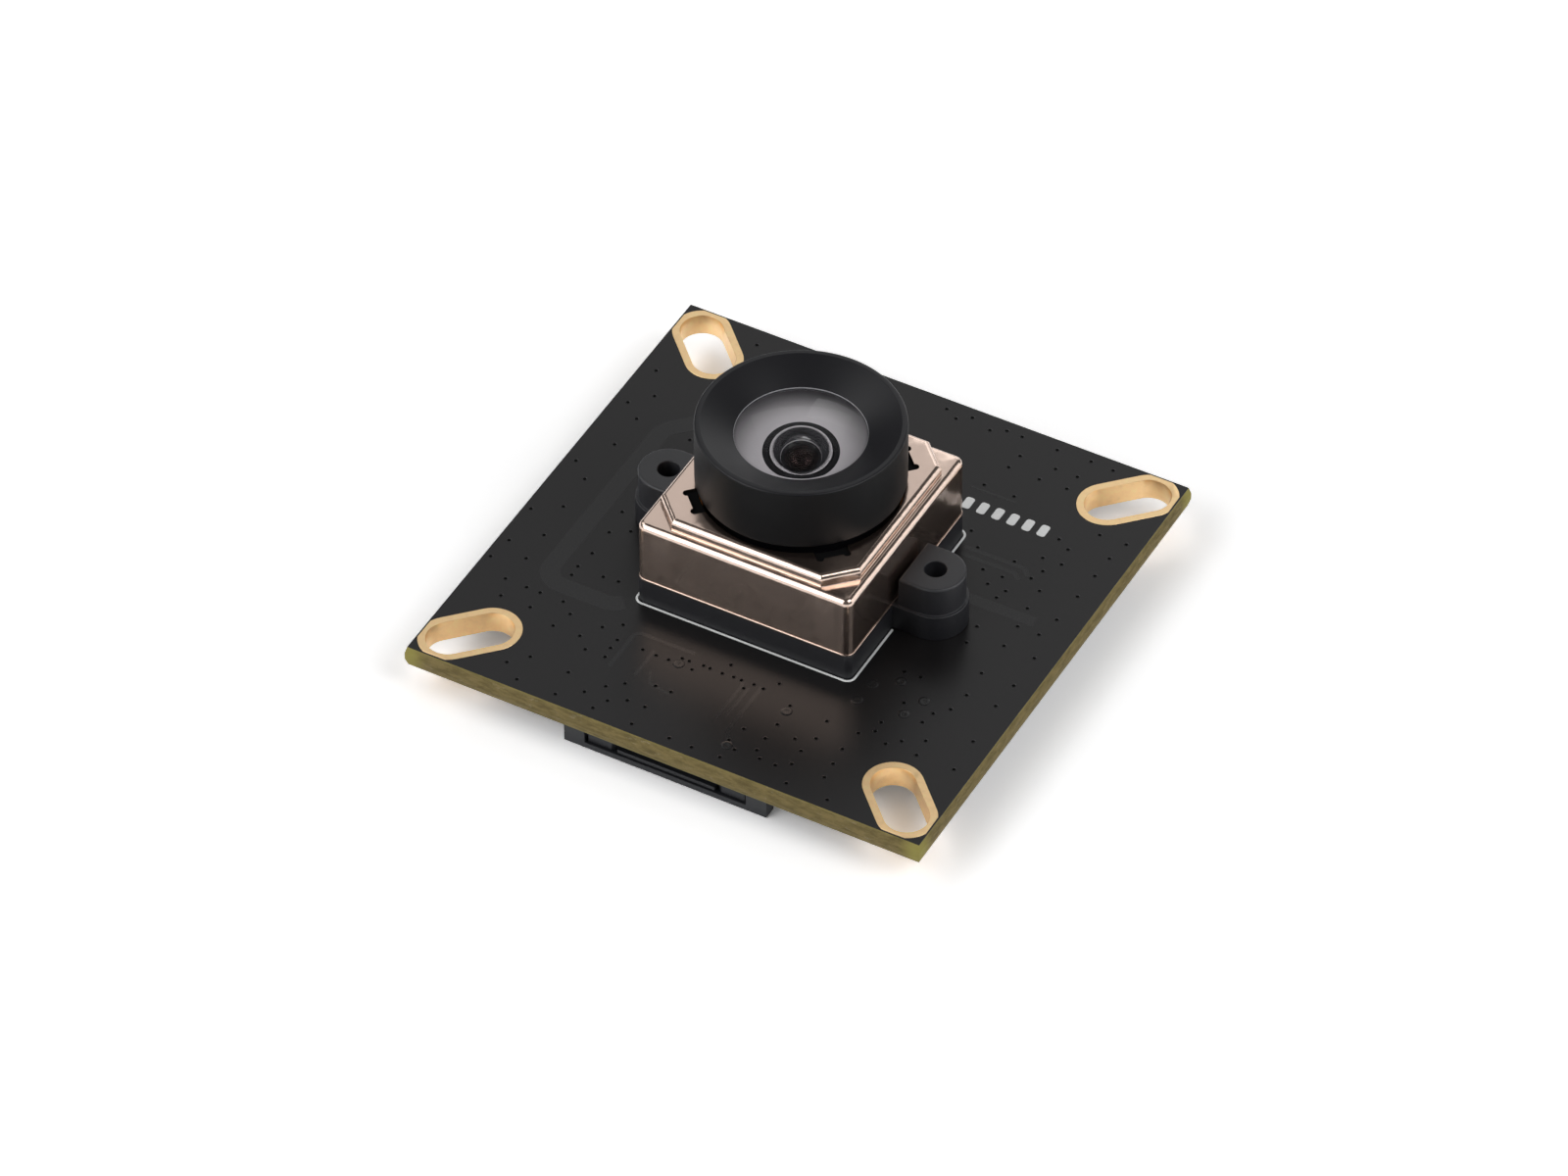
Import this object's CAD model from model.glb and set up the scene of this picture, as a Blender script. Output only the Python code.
"""Autofocus camera module on a square black circuit board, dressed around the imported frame.

Sizes are in millimetres and become metres in the meshes. +Z is the optical axis and -Y is the edge
with the flat-cable socket.
"""

import logging
import math
from collections.abc import Callable
from dataclasses import dataclass, field
from enum import Enum

import bmesh
import bpy
from mathutils import Matrix, Vector


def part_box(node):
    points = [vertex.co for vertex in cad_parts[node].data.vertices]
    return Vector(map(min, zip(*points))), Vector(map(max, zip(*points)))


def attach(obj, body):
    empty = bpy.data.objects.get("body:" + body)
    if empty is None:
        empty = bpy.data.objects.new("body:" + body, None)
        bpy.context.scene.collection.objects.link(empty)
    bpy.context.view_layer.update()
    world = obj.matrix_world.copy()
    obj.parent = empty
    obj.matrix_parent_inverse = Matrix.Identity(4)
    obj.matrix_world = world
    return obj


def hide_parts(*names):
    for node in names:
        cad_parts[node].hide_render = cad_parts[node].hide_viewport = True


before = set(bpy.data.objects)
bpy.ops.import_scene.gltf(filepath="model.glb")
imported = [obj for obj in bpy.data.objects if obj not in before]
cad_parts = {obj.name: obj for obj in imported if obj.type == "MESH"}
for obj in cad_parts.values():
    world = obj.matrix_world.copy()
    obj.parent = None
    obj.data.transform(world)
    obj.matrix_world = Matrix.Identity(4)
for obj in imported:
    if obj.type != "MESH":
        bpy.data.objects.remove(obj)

MM = 0.001
ON_BOARD = "board"
ON_LENS = "lens"
ON_LOCK = "cable_lock"
BOARD_TOP = 3.6
BOARD_LOW = 2.0
BOARD_HALF = 19.0
WHITE = (1.0, 1.0, 1.0, 1.0)
# Edges flatter than this are shaded smooth
SMOOTH_DEG = 30.0
# Points closer than this lie on the axis, at one height or on one spot
AXIS_MM = 1e-6
LEVEL_MM = 1e-3
WELD_M = 1e-8
# Keeps a division from zero
TINY = 1e-9
# Most of a noise lies between these values
NOISE_LOW = 0.3
NOISE_HIGH = 0.7
Point = tuple[float, float, float]
Profile = list[tuple[float, float]]
Reach = Callable[[float], float]
log = logging.getLogger("camera_module")


def linear(code: str) -> tuple[float, float, float, float]:
    """Turns an sRGB hex colour into the linear colour that a shader takes.

    Args:
        code: six hex digits, with or without a leading hash sign.

    Returns:
        Linear red, green, blue and an alpha of 1.
    """
    digits = code.lstrip("#")
    channels = [int(digits[i:i + 2], 16) / 255 for i in (0, 2, 4)]
    curve = [c / 12.92 if c <= 0.04045 else ((c + 0.055) / 1.055) ** 2.4 for c in channels]
    return (*curve, 1.0)


def add_node(tree: bpy.types.NodeTree, kind: str, settings: dict | None = None,
             links: dict | None = None) -> bpy.types.Node:
    """Adds a node to a shader or geometry tree.

    Args:
        tree: the tree that takes the node.
        kind: the node's type name.
        settings: values by input name, input number or property name.
        links: output sockets by the name or number of the input that each feeds.

    Returns:
        The new node.
    """
    node = tree.nodes.new(kind)
    for key, value in (settings or {}).items():
        if isinstance(key, int) or (key in node.inputs and not hasattr(node, key)):
            node.inputs[key].default_value = value
        else:
            setattr(node, key, value)
    for key, socket in (links or {}).items():
        tree.links.new(socket, node.inputs[key])
    return node


class Pattern(Enum):
    """What a surface's fine relief follows."""

    PLAIN = "plain"
    GRAIN = "grain"
    TURNED = "turned"


@dataclass(frozen=True)
class Finish:
    """An opaque finish: a colour, a gloss and a fine relief of a real size."""

    name: str
    colour: str
    roughness: float
    metallic: float = 0.0
    specular: float = 0.5
    pattern: Pattern = Pattern.PLAIN
    grain_mm: float = 0.1
    relief_mm: float = 0.002
    mottle: float = 0.0
    mottle_mm: float = 3.0
    gloss_shift: float = 0.0

    def material(self) -> bpy.types.Material:
        """Gives the finish's material, made on first use.

        Returns:
            The material.
        """
        found = bpy.data.materials.get(self.name)
        if found:
            return found
        material = bpy.data.materials.new(self.name)
        material.use_nodes = True
        material.diffuse_color = linear(self.colour)
        tree = material.node_tree
        tree.nodes.clear()
        shader = add_node(tree, "ShaderNodeBsdfPrincipled", {
            "Base Color": linear(self.colour), "Metallic": self.metallic,
            "Roughness": self.roughness, "Specular IOR Level": self.specular})
        add_node(tree, "ShaderNodeOutputMaterial", links={"Surface": shader.outputs[0]})
        self.dress(tree, shader)
        return material

    def place(self, tree: bpy.types.NodeTree) -> bpy.types.NodeSocket:
        """Gives the point of the surface.

        Args:
            tree: the material's tree.

        Returns:
            The point in millimetres.
        """
        point = add_node(tree, "ShaderNodeTexCoord")
        scaled = add_node(tree, "ShaderNodeVectorMath", {"operation": "SCALE", "Scale": 1 / MM},
                          {0: point.outputs["Object"]})
        return scaled.outputs[0]

    def dress(self, tree: bpy.types.NodeTree, shader: bpy.types.Node) -> None:
        """Adds the relief, the mottle and the shift in gloss.

        Args:
            tree: the material's tree.
            shader: its surface shader.
        """
        if self.pattern is Pattern.PLAIN and not self.mottle and not self.gloss_shift:
            return
        place = self.place(tree)
        if self.pattern is not Pattern.PLAIN:
            height = self.relief_height(tree, place)
            bump = add_node(tree, "ShaderNodeBump", {"Distance": self.relief_mm * MM}, {"Height": height})
            tree.links.new(bump.outputs[0], shader.inputs["Normal"])
        if self.mottle or self.gloss_shift:
            cloud = add_node(tree, "ShaderNodeTexNoise",
                             {"Scale": 1 / self.mottle_mm, "Detail": 4.0, "Roughness": 0.6},
                             {"Vector": place})
        if self.mottle:
            shade = add_node(tree, "ShaderNodeMapRange",
                             {"From Min": NOISE_LOW, "From Max": NOISE_HIGH,
                              "To Min": 1 - self.mottle, "To Max": 1 + self.mottle},
                             {"Value": cloud.outputs[0]})
            tinted = add_node(tree, "ShaderNodeVectorMath",
                              {"operation": "SCALE", 0: linear(self.colour)[:3]},
                              {"Scale": shade.outputs[0]})
            tree.links.new(tinted.outputs[0], shader.inputs["Base Color"])
        if self.gloss_shift:
            gloss = add_node(tree, "ShaderNodeMapRange",
                             {"From Min": NOISE_LOW, "From Max": NOISE_HIGH,
                              "To Min": self.roughness - self.gloss_shift,
                              "To Max": self.roughness + self.gloss_shift},
                             {"Value": cloud.outputs[0]})
            tree.links.new(gloss.outputs[0], shader.inputs["Roughness"])

    def relief_height(self, tree: bpy.types.NodeTree,
                      place: bpy.types.NodeSocket) -> bpy.types.NodeSocket:
        """Draws the fine relief.

        Args:
            tree: the material's tree.
            place: the surface point in millimetres.

        Returns:
            The relief's height, from 0 to 1.
        """
        if self.pattern is Pattern.GRAIN:
            grain = add_node(tree, "ShaderNodeTexNoise", {"Scale": 1 / self.grain_mm, "Detail": 2.0},
                             {"Vector": place})
            return grain.outputs[0]
        split = add_node(tree, "ShaderNodeSeparateXYZ", links={0: place})
        flat = add_node(tree, "ShaderNodeCombineXYZ", links={0: split.outputs[0], 1: split.outputs[1]})
        reach = add_node(tree, "ShaderNodeVectorMath", {"operation": "LENGTH"}, {0: flat.outputs[0]})
        along = add_node(tree, "ShaderNodeMath", {"operation": "ADD"},
                         {0: reach.outputs["Value"], 1: split.outputs[2]})
        ring = add_node(tree, "ShaderNodeTexNoise",
                        {"noise_dimensions": "1D", "Scale": 1 / self.grain_mm, "Detail": 2.0},
                        {"W": along.outputs[0]})
        return ring.outputs[0]


@dataclass(frozen=True)
class MaskedLaminate(Finish):
    """Black solder mask over a glass-fibre laminate that shows at the snapped edges."""

    core: str = "#8a7a4c"
    core_dark: str = "#6a5d36"
    fibre: str = "#b9b094"
    resin: str = "#a59c52"
    mask_mm: float = 0.03
    core_roughness: float = 0.75
    core_relief: float = 6.0
    bundle_stretch: Point = (0.7, 0.7, 2.4)
    bundle_scale: float = 1.4
    bundle_ramp: tuple[float, float] = (0.36, 0.6)
    fleck_scale: float = 1.7
    fleck_ramp: tuple[float, float] = (0.6, 0.8)
    fleck_share: float = 0.75
    rim_mm: float = 0.16
    rim_share: float = 0.35
    corner_mm: tuple[float, float] = (1.7, 0.2)
    corner_share: float = 0.85

    def dress(self, tree: bpy.types.NodeTree, shader: bpy.types.Node) -> None:
        """Splits mask from core by height and gives each its colour, gloss and relief.

        Args:
            tree: the material's tree.
            shader: its surface shader.
        """
        place = self.place(tree)
        height = add_node(tree, "ShaderNodeSeparateXYZ", links={0: place}).outputs[2]
        middle = (BOARD_TOP + BOARD_LOW) / 2
        offset = add_node(tree, "ShaderNodeMath", {"operation": "SUBTRACT", 1: middle}, {0: height})
        depth = add_node(tree, "ShaderNodeMath", {"operation": "ABSOLUTE"}, {0: offset.outputs[0]})
        limit = (BOARD_TOP - BOARD_LOW) / 2 - self.mask_mm
        masked = add_node(tree, "ShaderNodeMath", {"operation": "GREATER_THAN", 1: limit},
                          {0: depth.outputs[0]})
        core = self.lit_resin(tree, place, depth.outputs[0], limit)
        colour = add_node(tree, "ShaderNodeMix", {"data_type": "RGBA", 7: linear(self.colour)},
                          {0: masked.outputs[0], 6: core})
        tree.links.new(colour.outputs[2], shader.inputs["Base Color"])
        gloss = add_node(tree, "ShaderNodeMapRange",
                         {"To Min": self.core_roughness, "To Max": self.roughness},
                         {"Value": masked.outputs[0]})
        tree.links.new(gloss.outputs[0], shader.inputs["Roughness"])
        grain = add_node(tree, "ShaderNodeTexNoise", {"Scale": 1 / self.grain_mm, "Detail": 2.0},
                         {"Vector": place})
        coarse = add_node(tree, "ShaderNodeMapRange", {"To Min": self.core_relief, "To Max": 1.0},
                          {"Value": masked.outputs[0]})
        relief = add_node(tree, "ShaderNodeMath", {"operation": "MULTIPLY"},
                          {0: grain.outputs[0], 1: coarse.outputs[0]})
        bump = add_node(tree, "ShaderNodeBump", {"Distance": self.relief_mm * MM},
                        {"Height": relief.outputs[0]})
        tree.links.new(bump.outputs[0], shader.inputs["Normal"])

    def glass_bundles(self, tree: bpy.types.NodeTree,
                      place: bpy.types.NodeSocket) -> bpy.types.NodeSocket:
        """Draws the core's bundles of glass, which lie flat and fray at the snapped edge.

        Args:
            tree: the material's tree.
            place: the surface point in millimetres.

        Returns:
            The core's colour.
        """
        stretched = add_node(tree, "ShaderNodeVectorMath",
                             {"operation": "MULTIPLY", 1: self.bundle_stretch}, {0: place})
        bundle = add_node(tree, "ShaderNodeTexNoise",
                          {"Scale": self.bundle_scale, "Detail": 5.0, "Roughness": 0.72},
                          {"Vector": stretched.outputs[0]})
        body = add_node(tree, "ShaderNodeValToRGB", links={"Fac": bundle.outputs[0]})
        for number, colour in enumerate((self.core_dark, self.core)):
            body.color_ramp.elements[number].position = self.bundle_ramp[number]
            body.color_ramp.elements[number].color = linear(colour)
        fleck = add_node(tree, "ShaderNodeTexNoise",
                         {"Scale": self.fleck_scale, "Detail": 4.0, "Roughness": 0.75},
                         {"Vector": stretched.outputs[0]})
        frayed = add_node(tree, "ShaderNodeMapRange",
                          {"From Min": self.fleck_ramp[0], "From Max": self.fleck_ramp[1],
                           "To Max": self.fleck_share}, {"Value": fleck.outputs[0]})
        core = add_node(tree, "ShaderNodeMix", {"data_type": "RGBA", 7: linear(self.fibre)},
                        {0: frayed.outputs[0], 6: body.outputs[0]})
        return core.outputs[2]

    def lit_resin(self, tree: bpy.types.NodeTree, place: bpy.types.NodeSocket,
                  depth: bpy.types.NodeSocket, limit: float) -> bpy.types.NodeSocket:
        """Lightens the core where light leaks through thin resin, at the corners and under the mask.

        Args:
            tree: the material's tree.
            place: the surface point in millimetres.
            depth: the point's distance from the board's middle height.
            limit: that distance where the mask begins.

        Returns:
            The lightened colour.
        """
        rim = add_node(tree, "ShaderNodeMapRange",
                       {"From Min": limit - self.rim_mm, "From Max": limit, "To Max": self.rim_share},
                       {"Value": depth})
        span = add_node(tree, "ShaderNodeVectorMath", {"operation": "ABSOLUTE"}, {0: place})
        sides = add_node(tree, "ShaderNodeSeparateXYZ", links={0: span.outputs[0]})
        inner = add_node(tree, "ShaderNodeMath", {"operation": "MINIMUM"},
                         {0: sides.outputs[0], 1: sides.outputs[1]})
        corner = add_node(tree, "ShaderNodeMapRange",
                          {"interpolation_type": "SMOOTHSTEP",
                           "From Min": BOARD_HALF - self.corner_mm[0],
                           "From Max": BOARD_HALF - self.corner_mm[1], "To Max": self.corner_share},
                          {"Value": inner.outputs[0]})
        lit = add_node(tree, "ShaderNodeMath", {"operation": "MAXIMUM"},
                       {0: rim.outputs[0], 1: corner.outputs[0]})
        resin = add_node(tree, "ShaderNodeMix", {"data_type": "RGBA", 7: linear(self.resin)},
                         {0: lit.outputs[0], 6: self.glass_bundles(tree, place)})
        return resin.outputs[2]


@dataclass(frozen=True)
class FeatheredFlange(Finish):
    """Ground glass seen through a lens: light near the hollow, darker towards the blackened rim."""

    dark_colour: str = "#5a585c"
    light_mm: float = 2.6
    dark_mm: float = 4.9

    def dress(self, tree: bpy.types.NodeTree, shader: bpy.types.Node) -> None:
        """Adds the darkening with the distance from the optical axis.

        Args:
            tree: the material's tree.
            shader: its surface shader.
        """
        flat = add_node(tree, "ShaderNodeVectorMath", {"operation": "MULTIPLY", 1: (1.0, 1.0, 0.0)},
                        {0: self.place(tree)})
        reach = add_node(tree, "ShaderNodeVectorMath", {"operation": "LENGTH"}, {0: flat.outputs[0]})
        share = add_node(tree, "ShaderNodeMapRange",
                         {"From Min": self.light_mm, "From Max": self.dark_mm,
                          "interpolation_type": "SMOOTHSTEP"}, {"Value": reach.outputs["Value"]})
        mix = add_node(tree, "ShaderNodeMix",
                       {"data_type": "RGBA", 6: linear(self.colour), 7: linear(self.dark_colour)},
                       {0: share.outputs[0]})
        tree.links.new(mix.outputs[2], shader.inputs["Base Color"])


@dataclass(frozen=True)
class DrawnMetal(Finish):
    """Sheet metal drawn through a die: slightly wavy, polished on the high spots of a matte grain."""

    matte_roughness: float = 0.5
    matte_share: float = 0.07
    wave_mm: float = 0.9
    wave_relief_mm: float = 0.02

    def dress(self, tree: bpy.types.NodeTree, shader: bpy.types.Node) -> None:
        """Adds the waves, and the matte grain below the polished spots.

        Args:
            tree: the material's tree.
            shader: its polished surface shader.
        """
        super().dress(tree, shader)
        wave = add_node(tree, "ShaderNodeTexNoise", {"Scale": 1 / self.wave_mm, "Detail": 1.0},
                        {"Vector": self.place(tree)})
        swell = add_node(tree, "ShaderNodeBump", {"Distance": self.wave_relief_mm * MM},
                         {"Height": wave.outputs[0]})
        fine = shader.inputs["Normal"].links[0].from_node
        tree.links.new(swell.outputs[0], fine.inputs["Normal"])
        matte = add_node(tree, "ShaderNodeBsdfPrincipled", {
            "Base Color": linear(self.colour), "Metallic": self.metallic,
            "Roughness": self.matte_roughness})
        for name in ("Base Color", "Normal"):
            for link in shader.inputs[name].links:
                tree.links.new(link.from_socket, matte.inputs[name])
        share = add_node(tree, "ShaderNodeMixShader", {"Fac": self.matte_share},
                         {1: shader.outputs[0], 2: matte.outputs[0]})
        output = next(node for node in tree.nodes if node.type == "OUTPUT_MATERIAL")
        tree.links.new(share.outputs[0], output.inputs["Surface"])


@dataclass(frozen=True)
class Glass:
    """Polished optical glass with a coating that tints and dims its reflections."""

    name: str
    colour: str = "#ffffff"
    ior: float = 1.52
    coating: str = "#ffffff"

    def material(self) -> bpy.types.Material:
        """Gives the glass's material, made on first use.

        Returns:
            The material.
        """
        found = bpy.data.materials.get(self.name)
        if found:
            return found
        material = bpy.data.materials.new(self.name)
        material.use_nodes = True
        tree = material.node_tree
        tree.nodes.clear()
        glass = add_node(tree, "ShaderNodeBsdfPrincipled", {
            "Base Color": linear(self.colour), "Roughness": 0.0, "IOR": self.ior,
            "Transmission Weight": 1.0, "Specular Tint": linear(self.coating)})
        clear = add_node(tree, "ShaderNodeBsdfTransparent", {"Color": linear(self.colour)})
        path = add_node(tree, "ShaderNodeLightPath")
        mix = add_node(tree, "ShaderNodeMixShader",
                       links={0: path.outputs["Is Shadow Ray"], 1: glass.outputs[0], 2: clear.outputs[0]})
        add_node(tree, "ShaderNodeOutputMaterial", links={"Surface": mix.outputs[0]})
        return material


# Liquid photo-imaged solder mask, cured satin: near black, with a soft grey sheen
SOLDER_MASK = MaskedLaminate("solder_mask_on_laminate", "#191819", 0.3, specular=0.33,
                             pattern=Pattern.GRAIN, grain_mm=0.12, relief_mm=0.0012)
# The same mask where it climbs over copper
MASKED_COPPER = Finish("solder_mask_over_copper", "#1b1b1c", 0.26, specular=0.38,
                       pattern=Pattern.GRAIN, grain_mm=0.12, relief_mm=0.0012)
# The dimple where mask sinks into a via: a dark dot
VIA_DIMPLE = Finish("via_dimple", "#050505", 0.6, specular=0.05)
# Immersion gold on nickel: pale satin gold
GOLD = Finish("immersion_gold", "#ffdba6", 0.36, metallic=1.0, pattern=Pattern.GRAIN, grain_mm=0.15,
              relief_mm=0.002, gloss_shift=0.05, mottle=0.09, mottle_mm=0.6)
# Epoxy legend ink: flat white
LEGEND_INK = Finish("legend_ink", "#fcfefe", 0.6, specular=0.3)
# Glass-filled moulding compound with a fine spark-eroded grain: charcoal, matte
HOLDER_PLASTIC = Finish("spark_grained_plastic", "#191a20", 0.5, specular=0.9, pattern=Pattern.GRAIN,
                        grain_mm=0.06, relief_mm=0.004)
# Nickel over drawn copper-nickel sheet: warm, pinkish champagne with a soft drawn gloss
CAN_NICKEL = DrawnMetal("drawn_nickel_sheet", "#e1cabc", 0.17, metallic=1.0, pattern=Pattern.GRAIN,
                        grain_mm=0.07, relief_mm=0.0004, mottle=0.03, mottle_mm=1.6, gloss_shift=0.03)
# Black anodised aluminium, bead blasted then turned: deep satin black
BARREL_ANODISE = Finish("black_anodised_aluminium", "#131318", 0.42, specular=0.44,
                        pattern=Pattern.TURNED, grain_mm=0.05, relief_mm=0.0008)
# The head's outside, turned after blasting: darker and less glossy
BARREL_SIDE = Finish("turned_anodised_side", "#060608", 0.46, specular=0.2,
                     pattern=Pattern.TURNED, grain_mm=0.05, relief_mm=0.0008)
# Blackened inside faces: no gloss
BAFFLE_BLACK = Finish("baffle_black", "#0a0a0b", 0.8, specular=0.15)
# Black of the spacer ring behind the front glass and of the ring round the glass's hollow: matte
SPACER_BLACK = Finish("moulded_spacer", "#242426", 0.85, specular=0.1)
# Machined lip of the front aperture, where the anodise is thin and glints
APERTURE_LIP = Finish("aperture_lip", "#c4c4c8", 0.4)
# Blacking brushed on a lens's ground rim: dark grey through the glass
RIM_BLACKING = Finish("rim_blacking", "#3c3c40", 0.7, specular=0.3)
# Ground glass on the lens's rear flange: a soft satin grey, the blacking feathered in from the rim
GROUND_FLANGE = FeatheredFlange("ground_lens_flange", "#d0ccd0", 0.85, specular=0.3)
# Nickel-plated steel screws
SCREW_STEEL = Finish("nickel_plated_steel", "#c9c6c2", 0.3, metallic=1.0)
# Liquid-crystal polymer of the socket: dark grey, slightly mottled
SOCKET_POLYMER = Finish("glass_filled_polymer", "#24262a", 0.48, specular=0.45, pattern=Pattern.GRAIN,
                        grain_mm=0.08, relief_mm=0.003, mottle=0.12, mottle_mm=0.6)
# Tin-plated phosphor bronze of contacts and tabs
TINNED_METAL = Finish("tin_plate", "#cfcac2", 0.32, metallic=1.0)
# Enamelled copper wire
COIL_COPPER = Finish("enamelled_copper", "#b5713a", 0.3, metallic=1.0)
# Rolled copper alloy leaf under a black bond film
SPRING_COPPER = Finish("blackened_copper_alloy", "#2b2320", 0.45, metallic=1.0)
# Nickel plate on sintered magnets
MAGNET_NICKEL = Finish("plated_magnet", "#bdbdbd", 0.35, metallic=1.0)
# Sensor die on its laminate
SENSOR_DIE = Finish("sensor_die", "#1b1626", 0.25, specular=0.6)
# Epoxy moulding compound
PACKAGE_EPOXY = Finish("moulding_epoxy", "#1d1d1f", 0.6, specular=0.35)
# Barium titanate ceramic
CAPACITOR_CERAMIC = Finish("capacitor_ceramic", "#7d6147", 0.5)
# Resistor overglaze
RESISTOR_GLAZE = Finish("resistor_glaze", "#101012", 0.35)
# Seam-welded oscillator lid
OSCILLATOR_LID = Finish("oscillator_lid", "#d3ccbb", 0.28, metallic=1.0)
# Front lens: dense glass whose coating leaves a dim, neutral reflection
FRONT_GLASS = Glass("front_lens_glass", ior=1.68, coating="#1e1e20")
# Second lens: a warmer and brighter reflection
INNER_GLASS = Glass("inner_lens_glass", ior=1.6, coating="#5e4c4a")
# Lenses behind the stop: dimmed, so that the pupil stays dark
DEEP_GLASS = Glass("deep_lens_glass", colour="#3a2c28", ior=1.6, coating="#2c1c1a")
# Infrared-blocking filter and the sensor's cover: pale green-blue
FILTER_GLASS = Glass("infrared_filter_glass", colour="#d8ece8")


def mesh_piece(name: str, vertices: list[Point], faces: list[tuple],
               smooth_deg: float) -> bpy.types.Object:
    """Makes a closed mesh from points in millimetres, with outward faces.

    Args:
        name: the piece's name.
        vertices: points in millimetres.
        faces: tuples of point numbers.
        smooth_deg: edges flatter than this are shaded smooth.

    Returns:
        The new object, linked to the scene.
    """
    mesh = bpy.data.meshes.new(name)
    mesh.from_pydata([[c * MM for c in v] for v in vertices], [], faces)
    shell = bmesh.new()
    shell.from_mesh(mesh)
    bmesh.ops.remove_doubles(shell, verts=shell.verts, dist=WELD_M)
    bmesh.ops.recalc_face_normals(shell, faces=shell.faces)
    shell.to_mesh(mesh)
    shell.free()
    mesh.shade_smooth()
    mesh.set_sharp_from_angle(angle=math.radians(smooth_deg))
    piece = bpy.data.objects.new(name, mesh)
    bpy.context.scene.collection.objects.link(piece)
    weigh = piece.modifiers.new("even_shading", "WEIGHTED_NORMAL")
    weigh.keep_sharp = True
    return piece


def turned_piece(name: str, profile: Profile, segments: int,
                 smooth_deg: float = SMOOTH_DEG) -> bpy.types.Object:
    """Makes a solid of revolution about the optical axis.

    Args:
        name: the piece's name.
        profile: closed outline of (radius, height) points in millimetres; a radius of 0 is a pole.
        segments: how many steps go round.
        smooth_deg: edges flatter than this are shaded smooth.

    Returns:
        The new object.
    """
    vertices = []
    rings = []
    for radius, height in profile:
        if radius < AXIS_MM:
            rings.append([len(vertices)] * segments)
            vertices.append((0.0, 0.0, height))
            continue
        rings.append(list(range(len(vertices), len(vertices) + segments)))
        for step in range(segments):
            angle = math.tau * step / segments
            vertices.append((radius * math.cos(angle), radius * math.sin(angle), height))
    faces = []
    for lower, upper in zip(rings, rings[1:] + rings[:1]):
        if lower[0] == lower[1] and upper[0] == upper[1]:
            continue
        for step in range(segments):
            after = (step + 1) % segments
            corners = [lower[step], lower[after], upper[after], upper[step]]
            faces.append(tuple(dict.fromkeys(corners)))
    return mesh_piece(name, vertices, faces, smooth_deg)


def eased(profile: Profile, radius: float, steps: int, special: dict[tuple[float, float], float],
          side_share: float = 0.45) -> Profile:
    """Rounds every corner of a closed profile that keeps off the axis.

    Args:
        profile: closed outline of (radius, height) points.
        radius: the rounding, made smaller where a side is short.
        steps: arc steps at each corner.
        special: the rounding of single corners, where it differs.
        side_share: how much of a side one rounding may take.

    Returns:
        The outline with arcs in place of its corners.
    """
    result = []
    count = len(profile)
    for index, corner in enumerate(profile):
        here = Vector(corner)
        before = Vector(profile[index - 1]) - here
        after = Vector(profile[(index + 1) % count]) - here
        half = before.angle(after) / 2
        reach = min(special.get(corner, radius) / math.tan(half), side_share * before.length,
                    side_share * after.length)
        start = here + before.normalized() * reach
        end = here + after.normalized() * reach
        for step in range(steps + 1):
            t = step / steps
            point = start * (1 - t) ** 2 + here * (2 * t * (1 - t)) + end * t ** 2
            result.append((point.x, point.y))
    return result


def dome(radius: float, rise: float, level: float, steps: int = 24) -> Profile:
    """Points of a spherical cap from its pole out to its rim.

    Args:
        radius: the rim's radius.
        rise: how far the pole stands above the rim.
        level: the rim's height.
        steps: how many points.

    Returns:
        (radius, height) points, pole first.
    """
    sphere = (radius ** 2 + rise ** 2) / (2 * rise)
    sweep = math.atan2(radius, sphere - rise)
    points = []
    for step in range(steps + 1):
        angle = sweep * step / steps
        drop = sphere - sphere * math.cos(angle)
        points.append((sphere * math.sin(angle), level + (rise - drop)))
    return points


def dressed_copy(node: str, edge_mm: float, weld_m: float = 2e-7, flat_deg: float = 1.0,
                 eased_deg: float = 40.0) -> bpy.types.Object:
    """Copies a frame node, merges its faces and eases its edges.

    Args:
        node: the frame node.
        edge_mm: the width of the easing.
        weld_m: how close two points are merged.
        flat_deg: faces that turn less than this are merged.
        eased_deg: edges that turn more than this are eased.

    Returns:
        The copy, which stands for the node.
    """
    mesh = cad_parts[node].data.copy()
    mesh.materials.clear()
    shell = bmesh.new()
    shell.from_mesh(mesh)
    bmesh.ops.remove_doubles(shell, verts=shell.verts, dist=weld_m)
    bmesh.ops.dissolve_limit(shell, angle_limit=math.radians(flat_deg), verts=shell.verts,
                             edges=shell.edges)
    shell.to_mesh(mesh)
    shell.free()
    if "custom_normal" in mesh.attributes:
        mesh.attributes.remove(mesh.attributes["custom_normal"])
    mesh.shade_smooth()
    mesh.set_sharp_from_angle(angle=math.radians(SMOOTH_DEG))
    piece = bpy.data.objects.new(node + "_eased", mesh)
    bpy.context.scene.collection.objects.link(piece)
    easing = piece.modifiers.new("eased_edges", "BEVEL")
    easing.width = edge_mm * MM
    easing.segments = 2
    easing.limit_method = "ANGLE"
    easing.angle_limit = math.radians(eased_deg)
    easing.miter_outer = "MITER_ARC"
    easing.harden_normals = False
    weigh = piece.modifiers.new("even_shading", "WEIGHTED_NORMAL")
    weigh.keep_sharp = False
    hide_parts(node)
    return piece


def paint(piece: bpy.types.Object, *finishes: Finish | Glass) -> None:
    """Gives a piece its finishes.

    Args:
        piece: the piece.
        finishes: one for each material slot.
    """
    piece.data.materials.clear()
    for finish in finishes:
        piece.data.materials.append(finish.material())


def paint_nodes(finish: Finish | Glass, *nodes: str) -> None:
    """Gives frame nodes one finish through their material slots.

    Args:
        finish: the finish.
        nodes: the frame nodes that take it.
    """
    for node in nodes:
        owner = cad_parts[node]
        if not owner.material_slots:
            owner.data.materials.append(finish.material())
        for slot in owner.material_slots:
            slot.material = finish.material()
        log.info("%s: %s", node, finish.name)


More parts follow.
